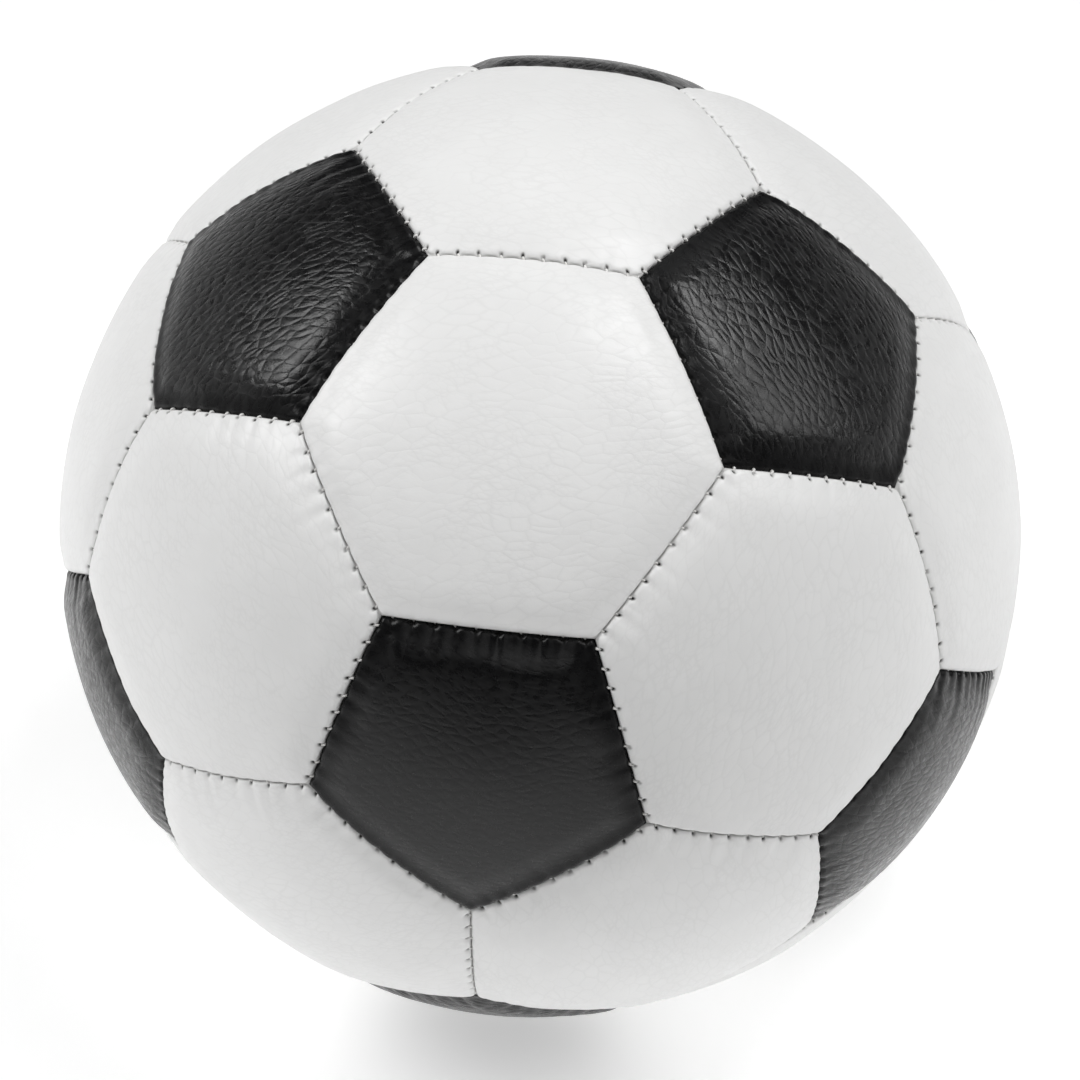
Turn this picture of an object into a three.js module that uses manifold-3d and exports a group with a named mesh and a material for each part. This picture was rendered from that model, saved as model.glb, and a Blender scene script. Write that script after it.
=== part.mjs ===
// A size 5 soccer ball: 12 black pentagons and 20 white hexagons of laminated leather, sewn edge
// to edge round an inflated rubber bladder with its valve.
// Millimetres, +Z up. The origin is the ball's centre. +Z leaves through the middle of one white
// hexagon, and -Y, the front, looks at a second white hexagon with a black pentagon under it.
import * as THREE from "three";
import { mergeVertices } from "three/addons/utils/BufferGeometryUtils.js";
import Module from "manifold-3d";

const wasm = await Module();
wasm.setup();

// The ball
const BALL_RADIUS = 110; // at the crown of a panel
const SIDE_STEPS = 3; // straight steps along one seam

// A panel: a laminate with its edges turned inwards into flanges that are sewn together
const LAMINATE = 3.2;
const CROWN_SHARE = 0.55; // where the crown's ring lies between the panel's middle and its seam
const SHOULDER = [
  { inset: 3.15, depth: 0.5 },
  { inset: 1.03, depth: 1.38 },
];
const SEAM_GAP = 0.3; // between the two flanges of a seam
const GROOVE_DEPTH = 3.5; // where the two flanges meet
const FLANGE_DEPTH = 8;
const FLANGE_THICKNESS = 2.4;
const FLANGE_ROOT = { inset: 3.45, depth: 3.5 }; // the inner corner between flange and crown

// The waxed thread that shows in the groove
const THREAD_RADIUS = 0.45;
const THREAD_SIDES = 5;
const THREAD_DEPTH = 1.9; // its middle, under the crown
const THREAD_END_GAP = 1.3; // from the end of a run to the next pentagon's thread

// The bladder: it fills the panels and gives way to their flanges
const BLADDER_WALL = 0.9;
const BLADDER_RADIUS = 105.6;
const BLADDER_CROWN_SHARE = 0.6;
const BLADDER_SHOULDER_INSET = 7;
const BLADDER_GROOVE = { inset: 3.2, radius: 101.3 };
const BLADDER_STEPS = 2;

// The valve, on the axis of one white hexagon behind the ball. Heights are distances from the
// ball's centre, and each disc is domed with the ball.
const VALVE_AZIMUTH = THREE.MathUtils.degToRad(202);
const VALVE_ELEVATION = THREE.MathUtils.degToRad(19);
const VALVE_SEGMENTS = 20;
const PANEL_HOLE_RADIUS = 3.2;
const NECK = { radius: 2.8, top: 108.9, bore: 1.5, chamfer: 0.3, mouth: 0.5 };
const VALVE_FLANGE = { radius: 17, top: 104.8, bottom: 103.6 };
const BARREL = { radius: 5.5, bottom: 92, bore: 3.2, boreTop: 103.4, coneTop: 104.2 };
const LIP = { bore: 2.2, top: 93, coneTop: 93.6 }; // keeps the core in its barrel
const CORE = { radius: 2.9, bottom: 93.9, top: 102.9, chamfer: 0.6, dimpleRadius: 1.2, dimple: 0.8 };
const CORE_SLIT = { width: 3.4, gap: 0.3 };
const BLADDER_HOLE_RADIUS = 5.8;
const BLADDER_SEAT_RADIUS = 102.4; // the bladder is pressed in under the valve's flange
const PANEL_PATCH = { radius: 20, hole: 4, top: 105.7, bottom: 105.1 };
const BLADDER_PATCH = { radius: 20.6, hole: 5.8, top: 103.3, bottom: 102.7 };
const DOME_STEPS = 4;

const MERGE_DISTANCE = 1e-3;

const whiteLeather = () => new THREE.MeshStandardMaterial({ color: 0xe6e6e4, roughness: 0.5 });
const blackLeather = () => new THREE.MeshStandardMaterial({ color: 0x1d1d1f, roughness: 0.38 });
const threadFibre = () => new THREE.MeshStandardMaterial({ color: 0xd9d6cd, roughness: 0.8 });
const bladderRubber = () => new THREE.MeshStandardMaterial({ color: 0x2a2a2c, roughness: 0.6 });
const valveRubber = () => new THREE.MeshStandardMaterial({ color: 0x3a3a3c, roughness: 0.5 });
const liningCloth = () => new THREE.MeshStandardMaterial({ color: 0xcfc8b8, roughness: 0.9 });

const ball = new THREE.Group();
ball.name = "soccer_ball";

function addPiece(name, geometry, material, parent = ball) {
  geometry.computeVertexNormals();
  const mesh = new THREE.Mesh(geometry, material);
  mesh.name = name;
  parent.add(mesh);
}

// ---- Directions and the layout of the panels ----

// The azimuth turns from the front (-Y) towards +X.
function direction(azimuth, elevation) {
  const flat = Math.cos(elevation);
  return new THREE.Vector3(
    Math.sin(azimuth) * flat,
    -Math.cos(azimuth) * flat,
    Math.sin(elevation),
  );
}

function between(a, b, share) {
  const angle = a.angleTo(b);
  return a
    .clone()
    .multiplyScalar(Math.sin((1 - share) * angle) / Math.sin(angle))
    .addScaledVector(b, Math.sin(share * angle) / Math.sin(angle));
}

// The pentagons' middles are an icosahedron's corners. Seen from the middle of one of its faces
// they stand in rings of three: one high, one just above the equator, and the opposites of both.
function pentagonMiddles() {
  const highRing = Math.asin(Math.sqrt((5 + 2 * Math.sqrt(5)) / 15));
  const middleRing = Math.asin(Math.sqrt((5 - 2 * Math.sqrt(5)) / 15));
  const thirdTurn = (2 * Math.PI) / 3;
  const upper = [0, 1, 2].map((k) => direction((k + 0.5) * thirdTurn, highRing));
  const middle = [0, 1, 2].map((k) => direction(k * thirdTurn, middleRing));
  const half = [...upper, ...middle];
  return [...half, ...half.map((d) => d.clone().negate())];
}

const pentagons = pentagonMiddles();
const areNeighbours = (i, j) => i !== j && pentagons[i].dot(pentagons[j]) > 0;

// Three panels meet a third of the way from one pentagon's middle to a neighbour's.
const junction = (i, j) => pentagons[i].clone().multiplyScalar(2).add(pentagons[j]).normalize();

function inOrderRound(middle, corners) {
  const start = corners[0].clone().projectOnPlane(middle).normalize();
  const quarter = middle.clone().cross(start);
  const angle = (corner) => Math.atan2(corner.dot(quarter), corner.dot(start));
  return [...corners].sort((a, b) => angle(a) - angle(b));
}

function allPanels() {
  const panels = [];
  const addPanel = (kind, middle, corners) =>
    panels.push({ kind, middle, corners: inOrderRound(middle, corners) });
  for (let i = 0; i < pentagons.length; i++) {
    const around = [...pentagons.keys()].filter((j) => areNeighbours(i, j));
    addPanel("pentagon", pentagons[i], around.map((j) => junction(i, j)));
    for (const j of around.filter((index) => index > i)) {
      for (const k of around.filter((index) => index > j && areNeighbours(j, index))) {
        const middle = pentagons[i].clone().add(pentagons[j]).add(pentagons[k]).normalize();
        const pairs = [[i, j], [j, i], [j, k], [k, j], [k, i], [i, k]];
        addPanel("hexagon", middle, pairs.map(([from, to]) => junction(from, to)));
      }
    }
  }
  return panels;
}

// From the top of the ball down, and round it within one height.
function fromTheTop(a, b) {
  const rise = b.middle.z - a.middle.z;
  const azimuth = (panel) => Math.atan2(panel.middle.x, -panel.middle.y);
  return Math.abs(rise) > MERGE_DISTANCE ? rise : azimuth(a) - azimuth(b);
}

// ---- Skins between rings of points ----

// Joins rings, each run anticlockwise seen from outside, into one skin. A ring of a single point
// is a pole.
function skin(rings) {
  const triangles = [];
  const at = (ring, i) => ring[i % ring.length];
  for (let r = 0; r + 1 < rings.length; r++) {
    const [near, far] = [rings[r], rings[r + 1]];
    for (let i = 0; i < Math.max(near.length, far.length); i++) {
      if (far.length > 1) triangles.push(at(near, i), at(far, i), at(far, i + 1));
      if (near.length > 1) triangles.push(at(near, i), at(far, i + 1), at(near, i + 1));
    }
  }
  return triangles;
}

function closedGeometry(triangles) {
  const geometry = new THREE.BufferGeometry().setFromPoints(triangles);
  return mergeVertices(geometry, MERGE_DISTANCE);
}

function seamDirections(panel, steps) {
  return panel.corners.flatMap((corner, i) => {
    const next = panel.corners[(i + 1) % panel.corners.length];
    return Array.from({ length: steps }, (_, k) => between(corner, next, k / steps));
  });
}

// The panel's edge, shrunk towards its middle: a share of 1 is the seam itself.
function shrunkRing(panel, edge, share, radius) {
  return edge.map((onSeam) => {
    const flat = onSeam.clone().divideScalar(onSeam.dot(panel.middle)).sub(panel.middle);
    return panel.middle.clone().addScaledVector(flat, share).setLength(radius);
  });
}

// The panel's edge, moved in from the seam's middle plane by a distance.
function insetRing(panel, edge, inset, radius) {
  const sideMiddle = panel.corners[0].clone().add(panel.corners[1]).normalize();
  const reach = panel.middle.angleTo(sideMiddle);
  const share = Math.tan(reach - Math.asin(inset / radius)) / Math.tan(reach);
  return shrunkRing(panel, edge, share, radius);
}

// A round hole's edge on the sphere of that radius, with one point for each point of the edge.
function holeRing(panel, edge, holeRadius, radius) {
  const height = Math.sqrt(radius ** 2 - holeRadius ** 2);
  return edge.map((onSeam) => {
    const outward = onSeam.clone().projectOnPlane(panel.middle).setLength(holeRadius);
    return panel.middle.clone().multiplyScalar(height).add(outward);
  });
}

// ---- Panels ----

function panelGeometry(panel) {
  const edge = seamDirections(panel, SIDE_STEPS);
  const inset = (distance, depth) => insetRing(panel, edge, distance, BALL_RADIUS - depth);
  const insideRadius = BALL_RADIUS - LAMINATE;
  const flangeInset = SEAM_GAP / 2;
  const middleRing = (radius) =>
    panel.isValvePanel
      ? holeRing(panel, edge, PANEL_HOLE_RADIUS, radius)
      : [panel.middle.clone().multiplyScalar(radius)];
  const rings = [
    middleRing(BALL_RADIUS),
    shrunkRing(panel, edge, CROWN_SHARE, BALL_RADIUS),
    ...SHOULDER.map((step) => inset(step.inset, step.depth)),
    inset(flangeInset, GROOVE_DEPTH),
    inset(flangeInset, FLANGE_DEPTH),
    inset(flangeInset + FLANGE_THICKNESS, FLANGE_DEPTH),
    inset(FLANGE_ROOT.inset, FLANGE_ROOT.depth),
    shrunkRing(panel, edge, CROWN_SHARE, insideRadius),
    middleRing(insideRadius),
  ];
  if (panel.isValvePanel) rings.push(rings[0]);
  return closedGeometry(skin(rings));
}

function addPanels(panels) {
  const count = { pentagon: 0, hexagon: 0 };
  for (const panel of panels) {
    let name = "valve_hexagon_panel";
    if (!panel.isValvePanel) {
      count[panel.kind] += 1;
      name = `${panel.kind}_panel_${String(count[panel.kind]).padStart(2, "0")}`;
    }
    const material = panel.kind === "pentagon" ? blackLeather() : whiteLeather();
    addPiece(name, panelGeometry(panel), material);
  }
}

// ---- Thread ----

// A thread along points above the ball's centre, joined up into a loop or closed at both ends.
function threadTube(points, isLoop) {
  const last = points.length - 1;
  const rings = points.map((point, i) => {
    const before = isLoop || i > 0 ? points[(i + last) % points.length] : null;
    const after = isLoop || i < last ? points[(i + 1) % points.length] : null;
    const arriving = (before ? point.clone().sub(before) : after.clone().sub(point)).normalize();
    const leaving = (after ? after.clone().sub(point) : arriving.clone()).normalize();
    const along = arriving.clone().add(leaving).normalize();
    const across = along.clone().cross(point).normalize();
    const up = across.clone().cross(along);
    const mitre = 1 / arriving.dot(along);
    return Array.from({ length: THREAD_SIDES }, (_, k) => {
      const angle = (2 * Math.PI * k) / THREAD_SIDES;
      return point
        .clone()
        .addScaledVector(across, THREAD_RADIUS * mitre * Math.cos(angle))
        .addScaledVector(up, THREAD_RADIUS * Math.sin(angle));
    });
  });
  const chain = isLoop ? [...rings, rings[0]] : [[points[0]], ...rings, [points[last]]];
  return solidOf(closedGeometry(skin(chain)));
}

function solidOf(geometry) {
  const mesh = new wasm.Mesh({
    numProp: 3,
    vertProperties: geometry.attributes.position.array,
    triVerts: new Uint32Array(geometry.index.array),
  });
  return new wasm.Manifold(mesh);
}

function geometryOf(solid) {
  const mesh = solid.getMesh();
  const geometry = new THREE.BufferGeometry();
  geometry.setAttribute("position", new THREE.BufferAttribute(mesh.vertProperties, 3));
  geometry.setIndex(new THREE.BufferAttribute(mesh.triVerts, 1));
  return geometry;
}

// Each run goes round one pentagon, and out along the hexagons' seams to the pentagons that come
// in the next half of the list, so that the runs are about equally long.
function goesOutTo(from, to) {
  const steps = (to - from + pentagons.length) % pentagons.length;
  const half = pentagons.length / 2;
  return areNeighbours(from, to) && (steps < half || (steps === half && from < to));
}

function addThreads(panels) {
  const threadRadius = BALL_RADIUS - THREAD_DEPTH;
  const lift = (d) => d.clone().multiplyScalar(threadRadius);
  panels
    .filter((panel) => panel.kind === "pentagon")
    .forEach((panel, number) => {
      const from = pentagons.indexOf(panel.middle);
      let run = threadTube(seamDirections(panel, SIDE_STEPS).map(lift), true);
      for (const to of pentagons.keys()) {
        if (!goesOutTo(from, to)) continue;
        const [start, end] = [junction(from, to), junction(to, from)];
        const points = Array.from({ length: SIDE_STEPS + 1 }, (_, k) =>
          lift(between(start, end, k / SIDE_STEPS)),
        );
        const lastStep = points[SIDE_STEPS].clone().sub(points[SIDE_STEPS - 1]);
        points[SIDE_STEPS].sub(lastStep.setLength(THREAD_END_GAP));
        run = run.add(threadTube(points, false));
      }
      const name = `seam_thread_${String(number + 1).padStart(2, "0")}`;
      addPiece(name, geometryOf(run), threadFibre());
    });
}

// ---- Bladder ----

function addBladder(panels) {
  const triangles = panels.flatMap((panel) => {
    const edge = seamDirections(panel, BLADDER_STEPS);
    const crownRadius = panel.isValvePanel ? BLADDER_SEAT_RADIUS : BLADDER_RADIUS;
    const middleRing = (radius) =>
      panel.isValvePanel
        ? holeRing(panel, edge, BLADDER_HOLE_RADIUS, radius)
        : [panel.middle.clone().multiplyScalar(radius)];
    // The wall's outside or, less the wall, its inside.
    const surface = (wall) => [
      middleRing(crownRadius - wall),
      shrunkRing(panel, edge, BLADDER_CROWN_SHARE, crownRadius - wall),
      insetRing(panel, edge, BLADDER_SHOULDER_INSET, BLADDER_RADIUS - wall),
      insetRing(panel, edge, BLADDER_GROOVE.inset, BLADDER_GROOVE.radius - wall),
      shrunkRing(panel, edge, 1, BLADDER_GROOVE.radius - wall),
    ];
    const outside = surface(0);
    const inside = surface(BLADDER_WALL).reverse();
    const holeWall = panel.isValvePanel ? skin([inside[inside.length - 1], outside[0]]) : [];
    return [...skin(outside), ...skin(inside), ...holeWall];
  });
  addPiece("bladder", closedGeometry(triangles), bladderRubber());
}

// ---- Valve ----

// Points on the dome of that radius, from one distance off the valve's axis to another.
function domeArc(radius, from, to) {
  return Array.from({ length: DOME_STEPS + 1 }, (_, k) => {
    const distance = from + ((to - from) * k) / DOME_STEPS;
    return [distance, Math.sqrt(radius ** 2 - distance ** 2)];
  });
}

function turned(outline) {
  const points = outline.map(([distance, height]) => new THREE.Vector2(distance, height));
  const geometry = new THREE.LatheGeometry(points, VALVE_SEGMENTS);
  geometry.deleteAttribute("normal");
  geometry.deleteAttribute("uv");
  return mergeVertices(geometry, MERGE_DISTANCE);
}

function domedWasher({ radius, hole, top, bottom }) {
  const outline = [...domeArc(bottom, hole, radius), ...domeArc(top, radius, hole)];
  return turned([...outline, outline[0]]);
}

function valveBodyGeometry() {
  const { radius, top, bottom } = VALVE_FLANGE;
  const outline = [
    [LIP.bore, BARREL.bottom],
    [BARREL.radius, BARREL.bottom],
    ...domeArc(bottom, BARREL.radius, radius),
    ...domeArc(top, radius, NECK.radius),
    [NECK.radius, NECK.top - NECK.chamfer],
    [NECK.radius - NECK.chamfer, NECK.top],
    [NECK.bore + NECK.mouth, NECK.top],
    [NECK.bore, NECK.top - NECK.mouth],
    [NECK.bore, BARREL.coneTop],
    [BARREL.bore, BARREL.boreTop],
    [BARREL.bore, LIP.coneTop],
    [LIP.bore, LIP.top],
  ];
  return turned([...outline, outline[0]]);
}

// A plug with a dimple that leads the needle to a slit, which closes again behind it.
function valveCoreGeometry() {
  const plug = turned([
    [0, CORE.bottom],
    [CORE.radius, CORE.bottom],
    [CORE.radius, CORE.top - CORE.chamfer],
    [CORE.radius - CORE.chamfer, CORE.top],
    [CORE.dimpleRadius, CORE.top],
    [0, CORE.top - CORE.dimple],
  ]);
  const length = CORE.top - CORE.bottom;
  const blade = new THREE.BoxGeometry(CORE_SLIT.width, 2 * length, CORE_SLIT.gap);
  blade.deleteAttribute("normal");
  blade.deleteAttribute("uv");
  blade.translate(0, CORE.bottom + length / 2, 0);
  return geometryOf(solidOf(plug).subtract(solidOf(mergeVertices(blade, MERGE_DISTANCE))));
}

function addValve(panel) {
  const valve = new THREE.Group();
  valve.name = "valve";
  valve.quaternion.setFromUnitVectors(new THREE.Vector3(0, 1, 0), panel.middle);
  ball.add(valve);
  addPiece("valve_body", valveBodyGeometry(), valveRubber(), valve);
  addPiece("valve_core", valveCoreGeometry(), valveRubber(), valve);
  addPiece("bladder_valve_patch", domedWasher(BLADDER_PATCH), bladderRubber(), valve);
  addPiece("panel_valve_patch", domedWasher(PANEL_PATCH), liningCloth(), valve);
}

// ---- The ball ----

const panels = allPanels().sort(fromTheTop);
const valveDirection = direction(VALVE_AZIMUTH, VALVE_ELEVATION);
const valvePanel = panels.reduce((best, panel) =>
  panel.middle.dot(valveDirection) > best.middle.dot(valveDirection) ? panel : best,
);
valvePanel.isValvePanel = true;

addPanels(panels);
addThreads(panels);
addBladder(panels);
addValve(valvePanel);

export default ball;
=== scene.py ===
"""The looks of a hand-stitched soccer ball: 32 leather panels, their stitching and the valve.

Shapes are worked out in millimetres around the ball's centre and become metres in new_object().
"""

import math

import bpy
import numpy as np
from mathutils import Matrix, Vector


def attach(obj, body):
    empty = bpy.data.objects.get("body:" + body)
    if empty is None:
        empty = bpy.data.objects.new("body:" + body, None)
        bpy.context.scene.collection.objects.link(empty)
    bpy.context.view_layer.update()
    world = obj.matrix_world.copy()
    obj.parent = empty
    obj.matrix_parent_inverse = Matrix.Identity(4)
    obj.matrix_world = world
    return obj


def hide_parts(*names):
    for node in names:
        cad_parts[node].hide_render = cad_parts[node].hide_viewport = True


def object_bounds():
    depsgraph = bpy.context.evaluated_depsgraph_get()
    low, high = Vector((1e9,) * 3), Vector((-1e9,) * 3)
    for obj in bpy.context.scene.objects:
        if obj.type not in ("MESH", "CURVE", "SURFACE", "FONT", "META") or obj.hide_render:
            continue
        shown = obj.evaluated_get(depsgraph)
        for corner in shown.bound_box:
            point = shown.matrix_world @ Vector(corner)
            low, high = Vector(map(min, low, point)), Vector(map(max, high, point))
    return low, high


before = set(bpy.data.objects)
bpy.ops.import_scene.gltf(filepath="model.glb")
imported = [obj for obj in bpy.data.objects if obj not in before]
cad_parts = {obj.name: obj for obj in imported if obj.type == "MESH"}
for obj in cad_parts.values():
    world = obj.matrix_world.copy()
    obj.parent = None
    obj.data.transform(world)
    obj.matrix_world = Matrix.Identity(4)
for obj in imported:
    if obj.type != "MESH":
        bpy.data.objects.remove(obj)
cad_low, cad_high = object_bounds()

MM = 0.001
RADIUS = (cad_high.z - cad_low.z) / 2 / MM  # to the crown of a panel
BODY = "root"
UP = np.array([0.0, 0.0, 1.0])
SEED = 11

# ---- The panel's section near a seam ----
SEAM_HALF_GAP = 0.06  # from the seam's middle plane to the flange
ROLL = {  # the edge that leans towards a seam: where it starts, its slope, and how softly it starts
    "pentagon": (7.3, 0.25, 0.75),
    "hexagon": (5.8, 0.21, 1.3),
}
ROLL_WANDER = 0.9  # how much the place where that edge starts wanders
EASE_START, EASE, EASE_SOFTNESS = 2.8, 0.1, 0.5  # where the slope grows less again, by how much, how softly
SHOULDER_REACH, SHOULDER_DROP = 1.2, 0.75  # the leather's own fold at the seam
CORNER_ROUNDING = 0.5  # how softly one side's section passes into the next one's
SEAM_REACH = 20  # no stitch or pleat acts further in than this
PLEATS_FADE = (12, 19)  # over which any long pleat dies out
RIPPLE, RIPPLE_REACH = 0.035, 4.5  # unevenness along a seam
SWAY = 0.2  # unevenness of the whole panel
PANEL_CLEARANCE = 0.2  # how far the crown of a panel lies inside the CAD one
FLANGE_DEPTH, FLANGE_THICKNESS = 8.0, 2.4
FLANGE_STEPS = (4.4, 6.0)  # depths of the points between the fold and the flange's end
LAMINATE, LINING_GAP = 3.2, 0.4  # the panel's thickness, and how much deeper its lining lies
LINING_INSET = 3.6  # the lining's edge, in from the seam

# ---- Leather ----
GRAIN_LEAN = {1: -8, 11: -22, 14: 80, 4: -80, 12: 60}  # by panel: degrees from upright, leaning left
CREASED = {14: 0.3}  # by panel: how deep its creases are beside those of the others
GATHER = {  # by panel and side: how much more the thread gathers the leather there than elsewhere
    (11, 0): 3.4, (14, 0): 2.2, (1, 0): 0.4, (1, 1): 0.4, (1, 4): 0.4, (11, 2): 0.5, (11, 3): 0.5,
}
PLEAT_LENGTH = {(14, 0): 0.45}  # by panel and side: how long the pleats are beside those elsewhere
PULLED_DOWN = {  # by panel and side: how far the edge there leans in towards the seam beside the others
    (1, 0): 1.2, (1, 1): 1.25, (1, 2): 0.45, (1, 3): 0.4,
    (11, 1): 0.4, (11, 2): 0.45, (11, 3): 1.3, (11, 4): 1.2,
    (14, 0): 1.3, (14, 2): 0.4, (14, 3): 0.4,
}
PULL_BLEND = 2.0  # millimetres over which one side's lean passes into the next one's

# ---- Stitches ----
STITCHES = 10  # on each seam
STITCH_JITTER = 0.22
HOLE_INSET, HOLE_RADIUS, HOLE_DEPTH = 0.66, 0.35, 0.8
FINE_PLEATS = 16  # on each side, between the stitches
STITCH_SLANT = 0.45  # along the seam, from one hole to its partner
PINCH_WIDTH, PINCH = 1.1, 0.22
THREAD_RADIUS = 0.26
STITCH_TRAVEL = (0, 0.15, 0.5, 0.85, 1.0)  # shares of the slant at the five points of a stitch
STITCH_INSETS = (0.6, 0.42, 0.14, -0.22, -0.45)  # from the seam, towards the hole
STITCH_RISES = (-0.6, 0.1, 0.26, 0.1, -0.9)  # over the leather

# ---- Mesh density ----
STEPS = 50  # along half a seam: ten for each stitch
COARSE_STEPS = 6
STEP_CROWDING = 0.45  # how much closer the steps lie at a stitch
BAND_INSETS = (6.6, 5.5, 4.6, 3.8, 3.1, 2.5, 2.0, 1.65, 1.35, 1.1, 0.9, 0.72, 0.55, 0.4, 0.27, 0.15)
CORE_INSET = 8.0

# ---- Valve ----
VALVE_NODE = "valve_hexagon_panel"
HOLE_STEPS, HOLE_BLEND_STEPS = 5, 22  # the panel's grid is round from one to the other
VALVE_HOLE_RADIUS, VALVE_RIM = 3.15, 0.9
VALVE_SEGMENTS = 72
VALVE_FLANGE_RADIUS, VALVE_FLANGE_TOP, VALVE_FLANGE_BOTTOM = 17.0, 104.8, 103.6
# The valve body's outline, up the outside and down the bore: across, and from the ball's centre
VALVE_BODY = (
    (2.2, 92.0), (5.5, 92.0), "bottom", "top", (2.8, 108.9), (1.7, 108.9), (1.5, 107.6), (1.5, 104.2),
    (3.2, 103.4), (3.2, 93.6), (2.2, 93.0),
)

rng = np.random.default_rng(SEED)


# ---- Small helpers ----

def unit(v):
    return v / np.linalg.norm(v, axis=-1, keepdims=True)


def direction(azimuth, elevation):
    """Azimuth turns from the front, -Y, towards +X."""
    flat = math.cos(elevation)
    return np.array([math.sin(azimuth) * flat, -math.cos(azimuth) * flat, math.sin(elevation)])


NOISE_TABLE = np.random.default_rng(SEED + 1).uniform(-1, 1, (256, 256))


def noise(x, y):
    """Smooth noise from -1 to 1 with features one unit apart."""
    ix, iy = np.floor(x).astype(int), np.floor(y).astype(int)
    fx, fy = x - ix, y - iy
    fx, fy = fx * fx * (3 - 2 * fx), fy * fy * (3 - 2 * fy)
    at = lambda dx, dy: NOISE_TABLE[(ix + dx) & 255, (iy + dy) & 255]
    low = at(0, 0) * (1 - fx) + at(1, 0) * fx
    high = at(0, 1) * (1 - fx) + at(1, 1) * fx
    return low * (1 - fy) + high * fy


def smoothstep(x):
    x = np.clip(x, 0, 1)
    return x * x * (3 - 2 * x)


def new_object(name, points, faces, material, attributes=None):
    """A smooth mesh object from points in millimetres. Each face array has its own number of corners."""
    used, packed = np.unique(np.concatenate([f.ravel() for f in faces]), return_inverse=True)
    points = points[used]
    corners = packed.astype(np.int32)
    sizes = np.concatenate([np.full(len(f), f.shape[1]) for f in faces])
    starts = np.concatenate([[0], np.cumsum(sizes)[:-1]]).astype(np.int32)
    mesh = bpy.data.meshes.new(name)
    mesh.vertices.add(len(points))
    mesh.vertices.foreach_set("co", (points * MM).astype(np.float32).ravel())
    mesh.loops.add(len(corners))
    mesh.loops.foreach_set("vertex_index", corners)
    mesh.polygons.add(len(sizes))
    mesh.polygons.foreach_set("loop_start", starts)
    mesh.update(calc_edges=True)
    mesh.shade_smooth()
    for key, (kind, values) in (attributes or {}).items():
        layer = mesh.attributes.new(key, kind, "POINT")
        field = "vector" if kind == "FLOAT_VECTOR" else "value"
        layer.data.foreach_set(field, values[used].astype(np.float32).ravel())
    mesh.materials.append(material)
    made = bpy.data.objects.new(name, mesh)
    bpy.context.scene.collection.objects.link(made)
    return made


# ---- The layout of the ball ----

def pentagon_middles():
    high = math.asin(math.sqrt((5 + 2 * math.sqrt(5)) / 15))
    middle = math.asin(math.sqrt((5 - 2 * math.sqrt(5)) / 15))
    third = 2 * math.pi / 3
    upper = [direction((k + 0.5) * third, high) for k in range(3)]
    upper += [direction(k * third, middle) for k in range(3)]
    return np.array(upper + [-d for d in upper])


def in_order_round(middle, keys, points):
    start = unit(points[0] - middle * (points[0] @ middle))
    quarter = np.cross(middle, start)
    angles = [math.atan2(p @ quarter, p @ start) % (2 * math.pi) for p in points]
    return [keys[i] for i in np.argsort(np.round(angles, 6))]


def layout():
    """The panels as lists of corner keys, and the corners' directions.

    A corner (i, j) lies a third of the way from pentagon i to pentagon j.
    """
    tops = pentagon_middles()
    near = [[j for j in range(12) if j != i and tops[i] @ tops[j] > 0] for i in range(12)]
    corners = {(i, j): unit(2 * tops[i] + tops[j]) for i in range(12) for j in near[i]}
    panels = []
    for i in range(12):
        keys = [(i, j) for j in near[i]]
        panels.append({"kind": "pentagon", "middle": tops[i], "corners": keys})
        for j in (j for j in near[i] if j > i):
            for k in (k for k in near[i] if k > j and k in near[j]):
                middle = unit(tops[i] + tops[j] + tops[k])
                keys = [(i, j), (j, i), (j, k), (k, j), (k, i), (i, k)]
                panels.append({"kind": "hexagon", "middle": middle, "corners": keys})
    for panel in panels:
        points = [corners[key] for key in panel["corners"]]
        panel["corners"] = in_order_round(panel["middle"], panel["corners"], points)
    return panels, corners


FIRST_PANEL = direction(0, math.radians(48.2))  # the sewing goes outwards from here


def seam_key(a, b):
    return (a, b) if a < b else (b, a)


def make_seams(panels, corners):
    """One entry for each seam, with its stitches, shared by the two panels that it joins."""
    seams = {}
    for panel in panels:
        for a, b in zip(panel["corners"], panel["corners"][1:] + panel["corners"][:1]):
            key = seam_key(a, b)
            if key in seams:
                continue
            start, end = corners[key[0]], corners[key[1]]
            middle, along = unit(start + end), unit(end - start)
            length = RADIUS * math.acos(np.clip(start @ end, -1, 1))
            pitch = length / STITCHES
            places = (np.arange(STITCHES) - (STITCHES - 1) / 2) * pitch
            seams[key] = {
                "middle": middle, "along": along, "left": np.cross(middle, along), "length": length,
                "stitches": places + rng.uniform(-STITCH_JITTER, STITCH_JITTER, STITCHES),
                "slant": rng.choice([-1, 1]) * STITCH_SLANT,
            }
    from_last_sewn = sorted(enumerate(panels, 1), key=lambda numbered: numbered[1]["middle"] @ FIRST_PANEL)
    for number, panel in from_last_sewn:
        for a, b in zip(panel["corners"], panel["corners"][1:] + panel["corners"][:1]):
            seams[seam_key(a, b)].setdefault("later_panel", number)
    return seams


# ---- The leather's surface ----

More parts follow.
